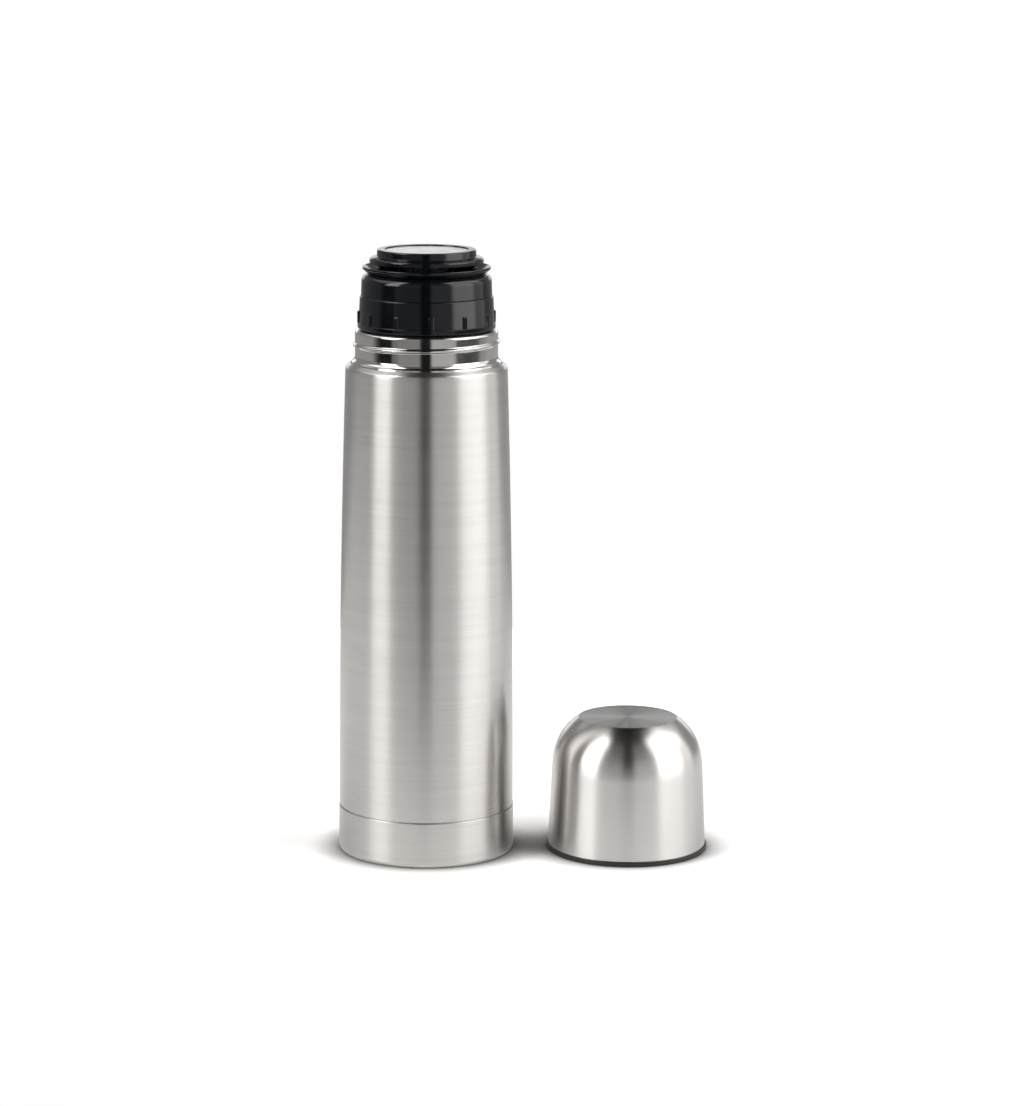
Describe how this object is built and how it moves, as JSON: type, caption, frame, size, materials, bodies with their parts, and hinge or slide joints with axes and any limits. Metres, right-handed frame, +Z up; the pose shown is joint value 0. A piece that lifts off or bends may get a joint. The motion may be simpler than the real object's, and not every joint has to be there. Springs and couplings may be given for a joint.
{
  "type": "vacuum flask",
  "caption": "Slim double-walled steel vacuum flask with a tapered barrel, threaded neck and push-button pouring stopper, its domed drinking cup standing mouth down beside it.",
  "frame": {"origin": "centre of the flask's resting ring, on the flask's axis", "axes": "+Z up along the flask's axis, +X from the flask towards the cup, +Y away from the viewer"},
  "size_m": [0.149, 0.0706, 0.2426],
  "materials": {
    "brushed_shell": "brushed round the axis, satin",
    "brushed_cap": "brushed round the axis, satin",
    "brushed_cup": "brushed round the axis, satin, spun end",
    "inner_steel": "electropolished satin",
    "plain_steel": "mill finish",
    "sealing_bead": "fused",
    "getter_metal": "sintered",
    "copper": "bright foil",
    "black_gloss": "gloss moulded",
    "black_matt": "fine matt moulded",
    "white_plastic": "satin moulded",
    "disc_insert": "satin pale grey",
    "clear_silicone": "silicone",
    "spring_steel": "drawn wire"
  },
  "bodies": {
    "flask": {"outer_shell": "brushed_shell", "base_cap": "brushed_cap", "inner_vessel": "inner_steel", "inner_bottom": "inner_steel", "outer_bottom": "plain_steel", "vacuum_plug": "sealing_bead", "getter": "getter_metal", "getter_clip": "plain_steel", "copper_foil": "copper"},
    "gasket": {"neck_gasket": "clear_silicone"},
    "stopper": {"stopper_core": "black_matt", "grip_collar": "black_gloss", "upper_housing": "black_gloss", "housing_gasket": "clear_silicone", "pour_ring": "black_gloss", "stem_guide": "white_plastic", "button_spring": "spring_steel"},
    "button": {"push_button": "black_gloss", "button_disc": "disc_insert", "valve_stem": "white_plastic", "valve_head": "white_plastic", "valve_seal": "clear_silicone", "valve_screw": "plain_steel"},
    "cup": {"cup_shell": "brushed_cup", "cup_liner": "black_matt", "cup_rim_band": "black_matt"}
  },
  "joints": [
    {"name": "stopper_rise", "type": "slide", "parent": "flask", "child": "gasket", "axis": [0, 0, 1], "range_m": [0, 0.0321]},
    {"name": "stopper_turn", "type": "hinge", "parent": "gasket", "child": "stopper", "pos_m": [0, 0, 0.2], "axis": [0, 0, 1], "range_deg": [0, 1440]},
    {"name": "button_press", "type": "slide", "parent": "stopper", "child": "button", "axis": [0, 0, -1], "range_m": [0, 0.003], "stiffness_N_per_m": 400, "springref_m": -0.006, "deforming": ["button_spring"]},
    {"name": "cup_lift", "type": "slide", "parent": "flask", "child": "cup", "axis": [0, 0, 1], "range_m": [0, 0.25]}
  ],
  "couplings": [
    {"joint": "stopper_rise", "follows": "stopper_turn", "m_per_rad": 0.0012732}
  ]
}
